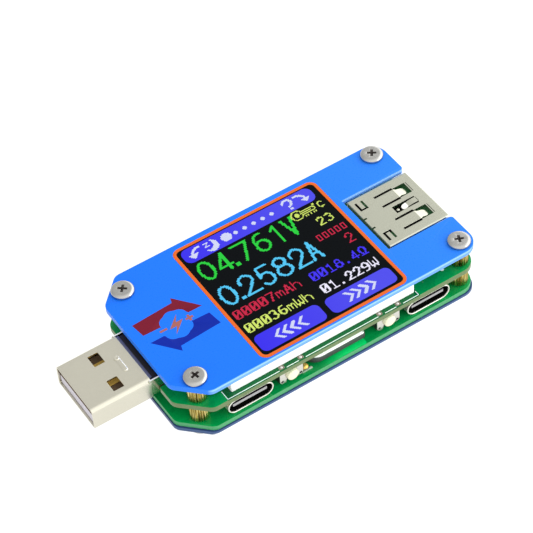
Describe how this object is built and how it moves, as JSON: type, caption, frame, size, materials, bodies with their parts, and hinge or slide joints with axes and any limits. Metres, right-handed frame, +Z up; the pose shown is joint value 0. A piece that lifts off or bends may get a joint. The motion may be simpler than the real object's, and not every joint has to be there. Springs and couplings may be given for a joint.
{
  "type": "usb power meter",
  "caption": "Inline USB power meter: two circuit boards between blue acrylic panels, colour display on top, USB plug and socket, two Type-C ports and side buttons.",
  "frame": {"origin": "centre of the bounding box in plan, at the level that the four lower screw heads rest on", "axes": "+X from the USB plug to the USB socket, +Z up out of the display, -Y the side with the Type-C ports"},
  "size_m": [0.0712, 0.0306, 0.0133],
  "materials": {
    "blue_acrylic": "blue acrylic sheet with a printed satin face",
    "green_laminate": "glass-epoxy circuit board with green solder mask",
    "nickel_steel": "nickel-plated steel",
    "brass": "knurled brass",
    "shell_metal": "nickel-plated sheet metal",
    "gold_plate": "gold-plated contact",
    "black_plastic": "moulded black plastic",
    "pale_plastic": "moulded pale grey plastic",
    "white_plastic": "white moulded light guide frame",
    "cream_plastic": "cream moulded plastic",
    "green_plastic": "moulded green plastic",
    "display_glass": "black display glass, glossy",
    "flex_film": "amber polyimide film",
    "resistor_ceramic": "coated ceramic resistor",
    "capacitor_resin": "moulded tantalum capacitor"
  },
  "bodies": {
    "housing": {"board_header": "black_plastic", "bottom_panel": "blue_acrylic", "bottom_screw_1": "nickel_steel", "bottom_screw_2": "nickel_steel", "bottom_screw_3": "nickel_steel", "bottom_screw_4": "nickel_steel", "controller_chip": "black_plastic", "crystal_base": "black_plastic", "crystal_can": "nickel_steel", "display_flex": "flex_film", "display_frame": "white_plastic", "display_glass": "display_glass", "input_capacitor": "capacitor_resin", "lower_board": "green_laminate", "lower_standoff_1": "brass", "lower_standoff_2": "brass", "lower_standoff_3": "brass", "lower_standoff_4": "brass", "plug_base": "black_plastic", "plug_contact_1": "gold_plate", "plug_contact_2": "gold_plate", "plug_contact_3": "gold_plate", "plug_contact_4": "gold_plate", "plug_shell": "shell_metal", "plug_tongue": "pale_plastic", "regulator_chip": "black_plastic", "shunt_resistor": "resistor_ceramic", "socket_contact_1": "gold_plate", "socket_contact_2": "gold_plate", "socket_contact_3": "gold_plate", "socket_contact_4": "gold_plate", "socket_insulator": "green_plastic", "socket_shell": "shell_metal", "switch_body_1": "black_plastic", "switch_body_2": "black_plastic", "switch_body_3": "black_plastic", "switch_body_4": "black_plastic", "switch_cover_1": "nickel_steel", "switch_cover_2": "nickel_steel", "switch_cover_3": "nickel_steel", "switch_cover_4": "nickel_steel", "top_panel": "blue_acrylic", "top_screw_1": "nickel_steel", "top_screw_2": "nickel_steel", "top_screw_3": "nickel_steel", "top_screw_4": "nickel_steel", "typec_input_shell": "shell_metal", "typec_input_tongue": "black_plastic", "typec_output_shell": "shell_metal", "typec_output_tongue": "black_plastic", "upper_board": "green_laminate", "upper_standoff_1": "brass", "upper_standoff_2": "brass", "upper_standoff_3": "brass", "upper_standoff_4": "brass"},
    "button_1": {"button_1": "cream_plastic"},
    "button_2": {"button_2": "cream_plastic"},
    "button_3": {"button_3": "cream_plastic"},
    "button_4": {"button_4": "cream_plastic"}
  },
  "joints": [
    {"name": "button_1_press", "type": "slide", "parent": "housing", "child": "button_1", "axis": [0, 1, 0], "range_m": [0, 0.00025], "stiffness_N_per_m": 4000},
    {"name": "button_2_press", "type": "slide", "parent": "housing", "child": "button_2", "axis": [0, 1, 0], "range_m": [0, 0.00025], "stiffness_N_per_m": 4000},
    {"name": "button_3_press", "type": "slide", "parent": "housing", "child": "button_3", "axis": [0, -1, 0], "range_m": [0, 0.00025], "stiffness_N_per_m": 4000},
    {"name": "button_4_press", "type": "slide", "parent": "housing", "child": "button_4", "axis": [0, -1, 0], "range_m": [0, 0.00025], "stiffness_N_per_m": 4000}
  ]
}
